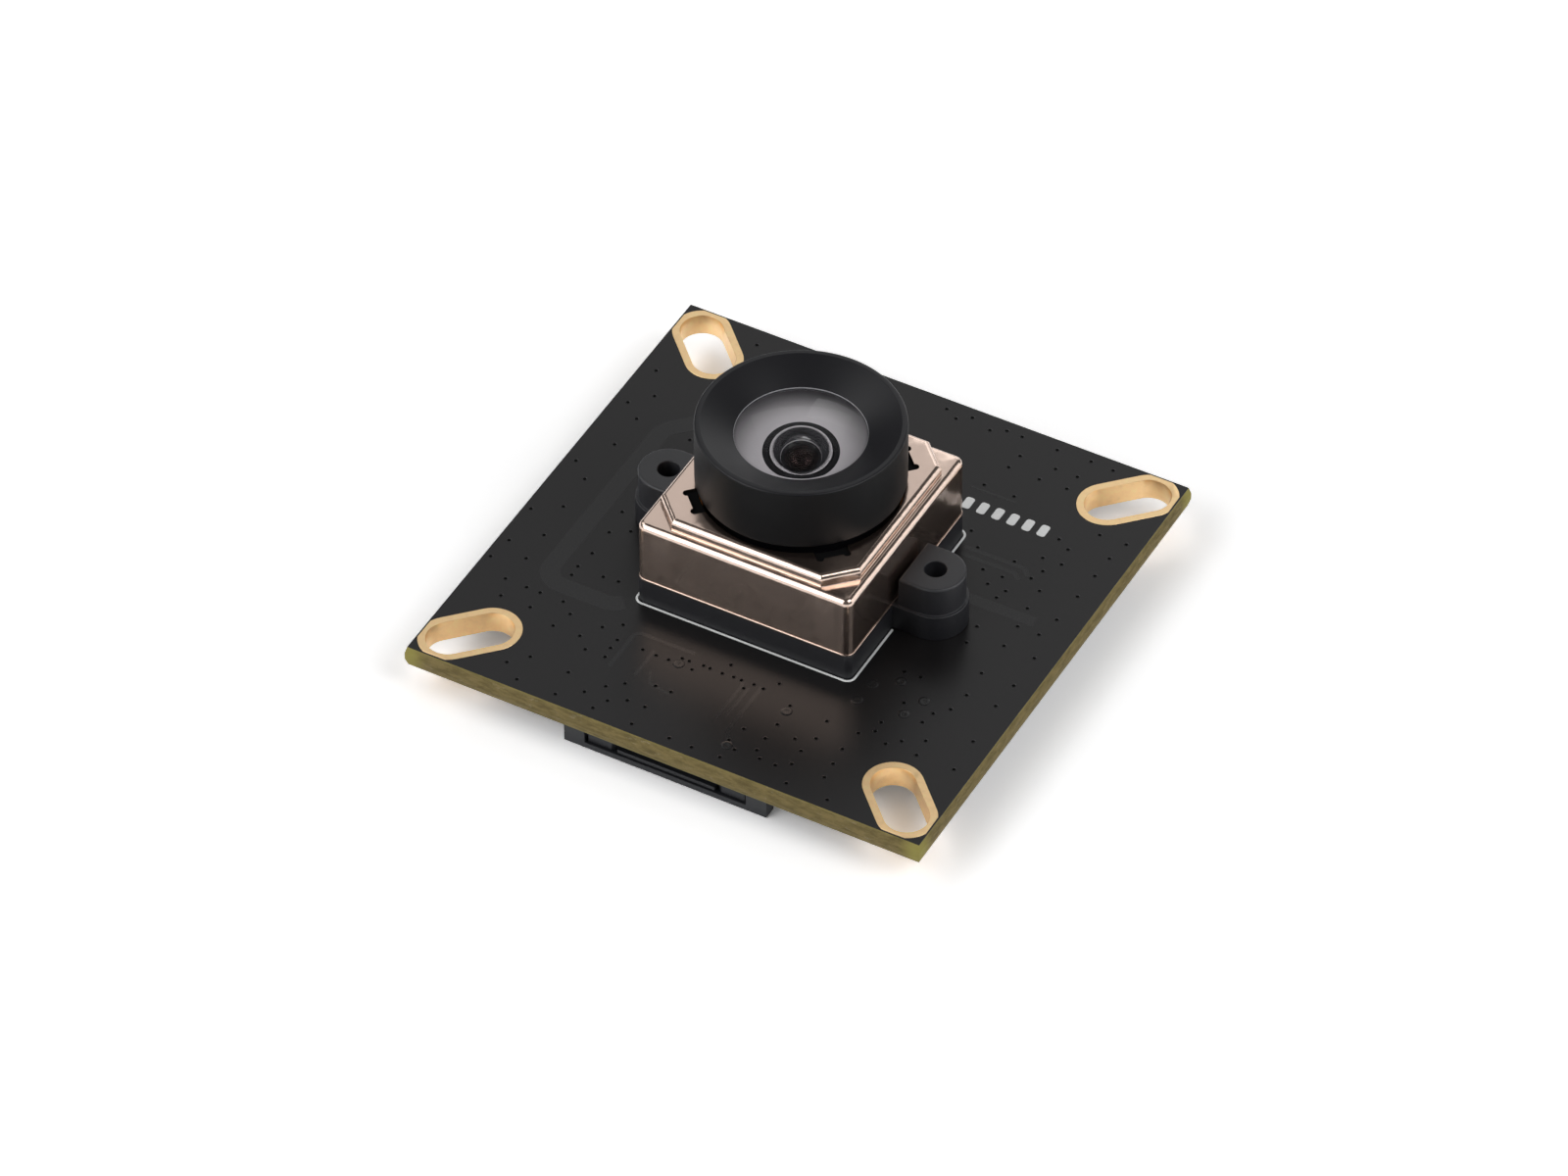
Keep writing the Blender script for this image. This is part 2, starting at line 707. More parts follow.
def settle(piece: bpy.types.Object, body: str) -> bpy.types.Object:
    """Puts a piece on its body and names its record finish.

    Args:
        piece: the visible piece.
        body: the frame body that carries it.

    Returns:
        The same piece.
    """
    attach(piece, body)
    log.info("%s rides on %s", piece.name, body)
    return piece


class GeometryTree:
    """A geometry node tree that is built once, run on one object and baked to a plain mesh."""

    def __init__(self, name: str, inputs: dict[str, tuple[str, float]]) -> None:
        """Makes the tree with named inputs.

        Args:
            name: the tree's name.
            inputs: socket type and value by input name.
        """
        self.tree = bpy.data.node_groups.new(name, "GeometryNodeTree")
        self.values = {label: value for label, (_, value) in inputs.items()}
        self.tree.interface.new_socket("Geometry", in_out="INPUT", socket_type="NodeSocketGeometry")
        for label, (kind, _) in inputs.items():
            self.tree.interface.new_socket(label, in_out="INPUT", socket_type=kind)
        self.tree.interface.new_socket("Geometry", in_out="OUTPUT", socket_type="NodeSocketGeometry")
        self.source = self.tree.nodes.new("NodeGroupInput")
        self.result = self.tree.nodes.new("NodeGroupOutput")

    def add(self, kind: str, settings: dict | None = None, links: dict | None = None) -> bpy.types.Node:
        """Adds a node to this tree."""
        return add_node(self.tree, kind, settings, links)

    def given(self, label: str) -> bpy.types.NodeSocket:
        """Returns the socket of a named input."""
        return self.source.outputs[label]

    def close(self, geometry: bpy.types.NodeSocket, finish: Finish | None) -> None:
        """Ends the tree in real geometry with a finish.

        Args:
            geometry: what the tree made.
            finish: the finish of all of it, or None where its meshes bring their own.
        """
        real = self.add("GeometryNodeRealizeInstances", links={0: geometry})
        last = real.outputs[0]
        if finish:
            painted = self.add("GeometryNodeSetMaterial", {"Material": finish.material()}, {0: last})
            last = painted.outputs[0]
        self.tree.links.new(last, self.result.inputs[0])

    def bake(self, carrier: bpy.types.Object, name: str) -> bpy.types.Object:
        """Runs the tree on an object and keeps the result as a plain piece.

        Args:
            carrier: the object that the tree works on; it is removed.
            name: the new piece's name.

        Returns:
            The baked piece.
        """
        modifier = carrier.modifiers.new("pattern", "NODES")
        modifier.node_group = self.tree
        for item in self.tree.interface.items_tree:
            if item.item_type == "SOCKET" and item.in_out == "INPUT" and item.name in self.values:
                modifier[item.identifier] = self.values[item.name]
        bpy.context.view_layer.update()
        depsgraph = bpy.context.evaluated_depsgraph_get()
        baked = bpy.data.meshes.new_from_object(carrier.evaluated_get(depsgraph), depsgraph=depsgraph)
        carrier.modifiers.remove(modifier)
        bpy.data.objects.remove(carrier)
        baked.name = name
        piece = bpy.data.objects.new(name, baked)
        bpy.context.scene.collection.objects.link(piece)
        baked.shade_smooth()
        baked.set_sharp_from_angle(angle=math.radians(SMOOTH_DEG))
        return piece


def carrier_object(name: str, data: bpy.types.ID) -> bpy.types.Object:
    """Makes a scratch object for a geometry tree to work on.

    Args:
        name: the object's name.
        data: its mesh or curve.

    Returns:
        The object, linked to the scene.
    """
    carrier = bpy.data.objects.new(name, data)
    bpy.context.scene.collection.objects.link(carrier)
    return carrier


def part_mesh(name: str, vertices: list[Point], faces: list[tuple], finishes: list[Finish],
              indices: list[int]) -> bpy.types.Object:
    """Makes a small repeated part as a scratch object that a geometry tree instances.

    Args:
        name: the part's name.
        vertices: points in millimetres.
        faces: tuples of point numbers.
        finishes: the part's finishes.
        indices: which finish each face has.

    Returns:
        The scratch object.
    """
    mesh = bpy.data.meshes.new(name)
    mesh.from_pydata([[c * MM for c in v] for v in vertices], [], faces)
    for finish in finishes:
        mesh.materials.append(finish.material())
    for polygon, index in zip(mesh.polygons, indices):
        polygon.material_index = index
    mesh.update()
    return carrier_object(name, mesh)


def lofted_part(name: str, rings: list[list[Point]], finishes: list[Finish],
                indices: list[int]) -> bpy.types.Object:
    """Makes a small closed part through rings of points, for instancing.

    Args:
        name: the part's name.
        rings: rings with as many points each, in millimetres.
        finishes: the part's finishes.
        indices: which finish each band has, the last cap's at the end; the first cap has the first.

    Returns:
        The scratch object.
    """
    sides = len(rings[0])
    faces = [tuple(reversed(range(sides)))]
    marks = [indices[0]]
    for row in range(len(rings) - 1):
        for step in range(sides):
            after = (step + 1) % sides
            faces.append((row * sides + step, row * sides + after,
                          (row + 1) * sides + after, (row + 1) * sides + step))
            marks.append(indices[row])
    faces.append(tuple(range((len(rings) - 1) * sides, len(rings) * sides)))
    marks.append(indices[-1])
    return part_mesh(name, [point for ring in rings for point in ring], faces, finishes, marks)


def round_rings(radii: tuple, heights: tuple, sides: int = 10) -> list[list[Point]]:
    """Rings of a small round stepped part, from its foot up.

    Args:
        radii: each ring's radius.
        heights: each ring's height.
        sides: how many points go round.

    Returns:
        The rings' points.
    """
    turns = [math.tau * step / sides for step in range(sides)]
    return [[(radius * math.cos(turn), radius * math.sin(turn), height) for turn in turns]
            for radius, height in zip(radii, heights)]


def chip_rings(width: float, length: float, height: float, cap_share: float = 0.26,
               step: float = 0.02, cut: float = 0.04) -> list[list[Point]]:
    """Rings of a chip that hangs below its place, with thicker plated ends.

    Args:
        width: the chip's width.
        length: its length, along y.
        height: how far it hangs down.
        cap_share: how much of the length one plated end takes.
        step: how much thinner the body and the end faces are.
        cut: the width of the cut edges.

    Returns:
        The rings' points.
    """
    cap = length * cap_share
    plan = ((-length / 2, step), (step - length / 2, 0.0), (cap - length / 2, 0.0),
            (cap - length / 2, step), (length / 2 - cap, step), (length / 2 - cap, 0.0),
            (length / 2 - step, 0.0), (length / 2, step))
    rings = []
    for along, thin in plan:
        side = width / 2 - thin
        deep = height - thin
        corners = [(side - cut, 0.0), (side, -cut), (side, cut - deep), (side - cut, -deep)]
        outline = corners + [(-x, z) for x, z in reversed(corners)]
        rings.append([(x, along, z) for x, z in outline])
    return rings


@dataclass(frozen=True)
class Spread:
    """How far small parts stray from their places, their scale and the seed of the draw."""

    wander_mm: float = 0.0
    turn_deg: float = 0.0
    size: float = 1.0
    seed: int = 0


def scatter(name: str, places: list[tuple[float, float]], level: float, part: bpy.types.Object,
            spread: Spread) -> bpy.types.Object:
    """Sets one small part on each place of a level and bakes them to one piece.

    Args:
        name: the baked piece's name.
        places: points in millimetres.
        level: their height in millimetres.
        part: the small part; it is removed afterwards.
        spread: how far the parts stray.

    Returns:
        The baked piece.
    """
    points = bpy.data.meshes.new(name + "_places")
    points.from_pydata([(x * MM, y * MM, level * MM) for x, y in places], [], [])
    tree = GeometryTree(name, {"Wander": ("NodeSocketFloat", spread.wander_mm * MM),
                               "Turn": ("NodeSocketFloat", math.radians(spread.turn_deg)),
                               "Size": ("NodeSocketFloat", spread.size),
                               "Seed": ("NodeSocketInt", spread.seed)})
    labels = ("Wander", "Wander", "Turn")
    drawn = []
    for step, label in enumerate(labels):
        index = tree.add("GeometryNodeInputIndex")
        identity = tree.add("ShaderNodeMath",
                            {"operation": "MULTIPLY_ADD", 1: float(len(labels)), 2: float(step)},
                            {0: index.outputs[0]})
        low = tree.add("ShaderNodeMath", {"operation": "MULTIPLY", 1: -1.0}, {0: tree.given(label)})
        lane = tree.add("FunctionNodeRandomValue", {"data_type": "FLOAT"},
                        {"ID": identity.outputs[0], "Seed": tree.given("Seed"), 2: low.outputs[0],
                         3: tree.given(label)})
        drawn.append(lane.outputs[1])
    offset = tree.add("ShaderNodeCombineXYZ", links={0: drawn[0], 1: drawn[1]})
    turned = tree.add("ShaderNodeCombineXYZ", links={2: drawn[2]})
    moved = tree.add("GeometryNodeSetPosition",
                     links={0: tree.source.outputs[0], "Offset": offset.outputs[0]})
    shape = tree.add("GeometryNodeObjectInfo", {"Object": part})
    placed = tree.add("GeometryNodeInstanceOnPoints",
                      links={"Points": moved.outputs[0], "Instance": shape.outputs["Geometry"],
                             "Rotation": turned.outputs[0], "Scale": tree.given("Size")})
    tree.close(placed.outputs[0], None)
    piece = tree.bake(carrier_object(name + "_carrier", points), name)
    bpy.data.objects.remove(part)
    return piece


@dataclass
class CircuitBoard:
    """The laminate with its mask, vias, covered tracks, legend print and plated slots."""

    plating_edge: float = 0.03
    sink: float = 0.004
    via_wander: float = 0.06
    via_radii: tuple = (0.2, 0.17, 0.14, 0.125)
    via_heights: tuple = (0.006, 0.006, 0.0045)
    pad_radii: tuple = (0.42, 0.38, 0.2, 0.15)
    pad_heights: tuple = (0.012, 0.012, 0.006)
    pad_sides: int = 16
    bend_steps: int = 8
    track_lift: float = 0.045
    track_slope: float = 0.055
    seed: int = 7
    # the vias: y of each row, and x along it
    drills: dict[float, tuple[float, ...]] = field(default_factory=lambda: {
        18.1: (1.2, 3.2, 5.8, 6.9, 9.6, 12.1, 13.8), 17.6: (-13.1, 2.2, 4.7), 16.4: (7.7, 10.4, 12.0),
        15.0: (7.6, 9.9, 11.9), 12.7: (6.9, 9.2), 12.1: (-17.8, 15.9, 17.9), 10.4: (13.7, 17.5),
        9.8: (-16.7, 14.7), 8.4: (-17.9, 8.3, 13.6, 15.0, 17.4), 7.2: (-16.6, -12.5, 9.4, 12.1, 14.2),
        6.2: (13.8, 17.3), 5.5: (10.6, 12.1, 14.9), 4.4: (-16.7, 11.6, 12.9), 3.6: (12.7, 14.9, 17.2),
        1.8: (-18.2, 15.2, 16.8), 0.5: (-16.7, 12.9), -0.3: (15.2, 17.5), -1.1: (-13.0, 13.0),
        -2.5: (-16.6, -11.5), -3.2: (-12.8, 15.2, 17.5), -3.8: (-18.4,),
        -5.5: (-16.4, -12.7, 10.7, 11.8, 15.3, 17.4), -7.1: (-18.2, -12.9, -11.0, -9.9, 12.9, 15.0),
        -8.0: (-16.3, -12.9, 12.0, 14.2), -9.0: (-18.5, 12.6, 13.9, 17.6),
        -10.4: (-16.6, -14.9, -13.9, -12.1, -7.6, 0.4, 4.0, 11.6, 14.9),
        -11.3: (-11.1, -8.7, -2.6, -2.1, -1.1, -0.6, 0.3, 1.2, 1.7, 2.6, 3.4, 11.6, 13.5),
        -11.9: (-16.0, -13.8, -7.2, -5.3, -4.3, -3.4, -2.4, -1.6, 2.2, 5.6, 8.4, 10.7, 12.7, 15.0, 17.8),
        -12.7: (-11.6, -9.6, -7.2), -13.7: (-8.6, -7.2, 5.7, 8.6, 10.5), -14.4: (-2.9, -1.8, 7.4),
        -15.2: (-4.8, 4.1, 5.7, 8.3, 10.6), -16.0: (-11.5, -8.6, -5.8),
        -16.5: (-3.9, -2.6, 3.7, 5.7, 8.3, 10.7), -17.1: (-12.5, -6.7, -5.0, 4.4, 6.3, 7.4),
        -18.2: (-11.2, -8.3, -5.5, -2.6, 0.2, 1.9, 3.9, 8.8, 11.9)})
    test_pads: tuple = ((5.7, -12.4), (12.5, -9.0), (13.1, -7.3), (9.4, -7.5), (9.2, -9.3), (10.9, -6.4),
                        (3.8, -17.0), (-2.6, -11.9))
    # each track: its width, the radius of its bends and the points of its path
    tracks: tuple = (
        (1.35, 1.4, ((-8.6, -8.6), (-9.2, -9.15), (-14.5, -9.15), (-14.5, 7.2), (-12.4, 9.3))),
        (0.35, 0.5, ((8.6, 6.85), (13.0, 6.85), (13.6, 6.3))),
        (0.35, 0.3, ((8.6, 6.15), (12.6, 6.15), (13.2, 5.7))),
        (0.9, 0.3, ((10.4, 2.65), (16.0, 2.65))),
        (0.3, 0.5, ((-6.5, -14.3), (-6.5, -10.6), (-2.1, -10.6))),
        (0.25, 0.4, ((-4.6, -14.2), (-4.6, -11.6))),
        (0.25, 0.4, ((2.0, -15.2), (2.0, -11.6), (1.7, -11.3))),
        (0.25, 0.4, ((2.5, -14.6), (2.5, -11.7))),
        (0.3, 0.5, ((3.2, -11.2), (3.2, -15.8), (3.8, -16.6))),
        (0.2, 0.2, ((-3.9, -13.4), (-3.4, -14.4), (-1.8, -14.7))),
        (0.2, 0.2, ((6.2, 12.2), (9.6, 12.2))),
    )

    def build(self) -> None:
        """Dresses the board and lays what stands on its mask."""
        paint_nodes(SOLDER_MASK, "circuit_board")
        paint_nodes(LEGEND_INK, "silkscreen_outline", "silkscreen_marks")
        for corner in ("front_left", "front_right", "rear_right", "rear_left"):
            plating = dressed_copy("slot_plating_" + corner, self.plating_edge)
            paint(plating, GOLD)
            settle(plating, ON_BOARD)
        self.lay_vias()
        self.lay_test_pads()
        self.lay_tracks()

    def lay_vias(self) -> None:
        """Sets the tented vias: each a low ring of mask round a dark dimple."""
        places = [(x, y) for y, row in self.drills.items() for x in row]
        rings = round_rings(self.via_radii, (-self.sink, *self.via_heights))
        via = lofted_part("via_shape", rings, [MASKED_COPPER, VIA_DIMPLE], [0, 0, 0, 1])
        vias = scatter("vias", places, BOARD_TOP, via, Spread(self.via_wander, seed=self.seed))
        settle(vias, ON_BOARD)

    def lay_test_pads(self) -> None:
        """Sets the round covered pads, each a flat ring with a dimple."""
        rings = round_rings(self.pad_radii, (-self.sink, *self.pad_heights), self.pad_sides)
        pad = lofted_part("pad_shape", rings, [MASKED_COPPER], [0, 0, 0, 0])
        pads = scatter("covered_pads", list(self.test_pads), BOARD_TOP, pad, Spread(seed=self.seed))
        settle(pads, ON_BOARD)

    def lay_tracks(self) -> None:
        """Raises the mask over the copper tracks."""
        for index, (width, bend, points) in enumerate(self.tracks):
            curve = bpy.data.curves.new("track_path", "CURVE")
            curve.dimensions = "3D"
            spline = curve.splines.new("POLY")
            spline.points.add(len(points) - 1)
            for knot, (x, y) in zip(spline.points, points):
                knot.co = (x * MM, y * MM, BOARD_TOP * MM, 1.0)
            name = f"track_{index:02d}"
            tree = GeometryTree(name, {"Bend": ("NodeSocketFloat", bend * MM),
                                       "Width": ("NodeSocketFloat", width * MM),
                                       "Lift": ("NodeSocketFloat", self.track_lift * MM)})
            rounded = tree.add("GeometryNodeFilletCurve", {"mode": "POLY", "Count": self.bend_steps},
                               {0: tree.source.outputs[0], "Radius": tree.given("Bend")})
            half = tree.add("ShaderNodeMath", {"operation": "MULTIPLY", 1: 0.5}, {0: tree.given("Width")})
            crest = tree.add("ShaderNodeMath", {"operation": "SUBTRACT", 1: self.track_slope * MM},
                             {0: half.outputs[0]})
            profile = self.track_profile(tree, half.outputs[0], crest.outputs[0])
            solid = tree.add("GeometryNodeCurveToMesh", {"Fill Caps": True},
                             {0: rounded.outputs[0], 1: profile})
            tree.close(solid.outputs[0], MASKED_COPPER)
            piece = tree.bake(carrier_object(name + "_carrier", curve), name)
            settle(piece, ON_BOARD)

    def track_profile(self, tree: GeometryTree, half: bpy.types.NodeSocket,
                      crest: bpy.types.NodeSocket) -> bpy.types.NodeSocket:
        """Makes the flat trapezium that a track's mask has in section.

        Args:
            tree: the track's tree.
            half: half the foot's width.
            crest: half the crest's width.

        Returns:
            A closed curve.
        """
        quad = tree.add("GeometryNodeCurvePrimitiveQuadrilateral", {"mode": "TRAPEZOID", "Offset": 0.0})
        foot = tree.add("ShaderNodeMath", {"operation": "MULTIPLY", 1: 2.0}, {0: half})
        top = tree.add("ShaderNodeMath", {"operation": "MULTIPLY", 1: 2.0}, {0: crest})
        tree.tree.links.new(foot.outputs[0], quad.inputs["Bottom Width"])
        tree.tree.links.new(top.outputs[0], quad.inputs["Top Width"])
        height = tree.add("ShaderNodeMath", {"operation": "ADD", 1: self.sink * MM},
                          {0: tree.given("Lift")})
        tree.tree.links.new(height.outputs[0], quad.inputs["Height"])
        raised = tree.add("ShaderNodeMath", {"operation": "MULTIPLY_ADD", 1: 0.5, 2: -self.sink * MM},
                          {0: height.outputs[0]})
        spot = tree.add("ShaderNodeCombineXYZ", links={1: raised.outputs[0]})
        lifted = tree.add("GeometryNodeTransform",
                          links={0: quad.outputs[0], "Translation": spot.outputs[0]})
        return lifted.outputs[0]


def outline_loop(reach_at: Reach, angles: list[float], height: float) -> list[Point]:
    """Points of a plan outline, sampled at set polar angles.

    Args:
        reach_at: gives the outline's distance from the axis at an angle from the nearest side's middle.
        angles: polar angles in one eighth of the outline, 0 at a side's middle and 45 degrees at a corner.
        height: the outline's height.

    Returns:
        The points, anticlockwise.
    """
    points = []
    for eighth in range(8):
        steps = angles if eighth % 2 == 0 else list(reversed(angles))
        for local in steps[:-1]:
            reach = reach_at(local)
            turn = (eighth // 2) * math.pi / 2 + (local if eighth % 2 == 0 else math.pi / 2 - local)
            points.append((reach * math.cos(turn), reach * math.sin(turn), height))
    return points


def square_reach(half: float, corner: float) -> Reach:
    """Makes the reach of a square with round corners.

    Args:
        half: half the square's side.
        corner: the corners' radius.

    Returns:
        The outline's distance from the axis, by the angle from a side's middle.
    """
    centre = (half - corner) * math.sqrt(2)
    bend = math.atan2(half - corner, half)

    def reach(angle: float) -> float:
        """Meets the side up to its end, and the corner's arc from there.

        Args:
            angle: the angle from a side's middle.

        Returns:
            The distance from the axis.
        """
        if angle <= bend:
            return half / math.cos(angle)
        off = math.pi / 4 - angle
        return centre * math.cos(off) + math.sqrt(max(corner ** 2 - (centre * math.sin(off)) ** 2, 0.0))

    return reach


def octagon_reach(half: float, cut: float) -> Reach:
    """Makes the reach of a square whose corners are cut straight.

    Args:
        half: half the square's side.
        cut: how much of each side the cut takes.

    Returns:
        The outline's distance from the axis, by the angle from a side's middle.
    """
    bend = math.atan2(half - cut, half)
    diagonal = (2 * half - cut) / math.sqrt(2)

    def reach(angle: float) -> float:
        """Meets the side up to its end, and the cut from there.

        Args:
            angle: the angle from a side's middle.

        Returns:
            The distance from the axis.
        """
        if angle <= bend:
            return half / math.cos(angle)
        return diagonal / math.cos(math.pi / 4 - angle)

    return reach


@dataclass
class FocusCan:
    """The drawn actuator can: flared foot, rounded rim, raised octagonal roof and notched opening."""

    half: float = 7.975
    corner: float = 0.6
    least_corner: float = 0.08
    foot_out: float = 0.05
    foot_height: float = 0.14
    wall: float = 0.2
    rim_round: float = 0.4
    rim_drop: float = 0.52
    step_height: float = 0.9
    step_inset: float = 0.525
    step_cut: float = 1.9
    step_round: float = 0.42
    foot_fillet: float = 0.06
    opening: float = 6.9
    notch_reach: float = 7.52
    notch_width: float = 2.3
    notch_ear: float = 0.24
    edge: float = 0.03
    arc_steps: int = 6
    smooth_deg: float = 40.0
    # first and last angle in degrees, and the steps between
    angle_ranges: tuple = ((0, 34.0, 12), (34.0, 36.3, 12), (36.3, 37.3, 10), (37.3, 40.2, 30),
                           (40.2, 43.0, 4), (43.0, 45.0, 24))

    def opening_reach(self, inset: float) -> Reach:
        """Makes the reach of the round opening with its four diagonal notches.

        Args:
            inset: how far the opening is grown.

        Returns:
            The outline's distance from the axis, by the angle from a side's middle.
        """
        radius = self.opening + inset
        wall = self.notch_reach + inset
        side = self.notch_width / 2 + inset
        ear = self.notch_ear + inset
        ear_side = self.notch_width / 2 - self.notch_ear

        def reach(angle: float) -> float:
            """Takes the farthest of the round opening, the notch and the notch's round corner.

            Args:
                angle: the angle from a side's middle.

            Returns:
                The distance from the axis.
            """
            off = math.pi / 4 - angle
            box = min(wall / math.cos(off), side / max(math.sin(off), TINY))
            best = max(radius, box)
            along = self.notch_reach * math.cos(off) + ear_side * math.sin(off)
            across = self.notch_reach * math.sin(off) - ear_side * math.cos(off)
            if abs(across) < ear:
                best = max(best, along + math.sqrt(ear ** 2 - across ** 2))
            return best

        return reach

    def angles(self) -> list[float]:
        """Lists the angles at which the outlines are sampled, closer where one bends.

        Returns:
            Polar angles in one eighth of an outline.
        """
        result = []
        for start, end, count in self.angle_ranges:
            result += [math.radians(start + (end - start) * i / count) for i in range(count)]
        return result + [math.pi / 4]

    def square(self, inset: float, height: float) -> list[Point]:
        """Draws one loop of the can's wall.

        Args:
            inset: how far the loop lies inside the wall's outer face.
            height: the loop's height.

        Returns:
            The loop's points.
        """
        corner = max(self.corner - inset, self.least_corner)
        return outline_loop(square_reach(self.half - inset, corner), self.angles(), height)

    def octagon(self, inset: float, height: float) -> list[Point]:
        """Draws one loop of the raised roof.

        Args:
            inset: how far the loop lies inside the step's outer face.
            height: the loop's height.

        Returns:
            The loop's points.
        """
        half = self.half - self.step_inset - inset
        cut = self.step_cut - inset * (2 - math.sqrt(2))
        return outline_loop(octagon_reach(half, cut), self.angles(), height)

    def loops(self, floor: float, roof: float) -> list[list[Point]]:
        """Draws the can's loops, up its outside, through the opening and down its inside.

        Args:
            floor: the height of the can's foot.
            roof: the height of its roof.

        Returns:
            The loops in order; the last one meets the first.
        """
        rim = roof - self.step_height
        foot = floor + self.foot_height
        turns = [math.pi / 2 * step / self.arc_steps for step in range(self.arc_steps + 1)]
        loops = [self.square(-self.foot_out, floor), self.square(-self.foot_out, foot - self.foot_out)]
        loops += [self.square(-self.foot_out * math.cos(turn), foot - self.foot_out * (1 - math.sin(turn)))
                  for turn in turns[1:]]
        loops += [self.square(self.rim_round * (1 - math.cos(turn)),
                              rim - self.rim_drop * (1 - math.sin(turn))) for turn in turns]
        loops += [self.octagon(-self.foot_fillet * (1 - math.sin(turn)),
                               rim + self.foot_fillet * (1 - math.cos(turn))) for turn in turns]
        loops += [self.octagon(self.step_round * (1 - math.cos(turn)),
                               roof - self.step_round * (1 - math.sin(turn))) for turn in turns]
        loops += [outline_loop(self.opening_reach(grow), self.angles(), height)
                  for grow, height in ((self.edge * 2, roof), (self.edge, roof),
                                       (0.0, roof - self.edge), (0.0, roof - self.wall))]
        loops += [self.octagon(self.wall, roof - self.wall), self.octagon(self.wall, rim - self.wall),
                  self.square(self.wall, rim - self.wall), self.square(self.wall, floor)]
        return loops

    def build(self) -> None:
        """Builds the can as one closed sheet and hides the frame's plain one."""
        low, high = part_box("actuator_can")
        loops = self.loops(low.z / MM, high.z / MM)
        count = len(loops[0])
        vertices = [point for loop in loops for point in loop]
        faces = []
        for row in range(len(loops)):
            following = (row + 1) % len(loops)
            for step in range(count):
                after = (step + 1) % count
                faces.append((row * count + step, row * count + after,
                              following * count + after, following * count + step))
        can = mesh_piece("drawn_can", vertices, faces, self.smooth_deg)
        paint(can, CAN_NICKEL)
        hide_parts("actuator_can")
        settle(can, ON_BOARD)
        paint_nodes(BAFFLE_BLACK, "actuator_base", "spring_spacer")
        paint_nodes(SPRING_COPPER, "lower_spring", "upper_spring")
        paint_nodes(MAGNET_NICKEL, "magnet_front_left", "magnet_front_right", "magnet_rear_left",
                    "magnet_rear_right")


@dataclass
class SensorHolder:
    """The plastic holder with its ears, the sensor below it and the screws from underneath."""

    edge: float = 0.06

    def build(self) -> None:
        """Dresses the holder and what it holds."""
        holder = dressed_copy("holder_base", self.edge)
        paint(holder, HOLDER_PLASTIC)
        settle(holder, ON_BOARD)
        paint_nodes(SCREW_STEEL, "mount_screw_left", "mount_screw_right")
        paint_nodes(SENSOR_DIE, "image_sensor")
        paint_nodes(FILTER_GLASS, "ir_filter", "sensor_cover_glass")


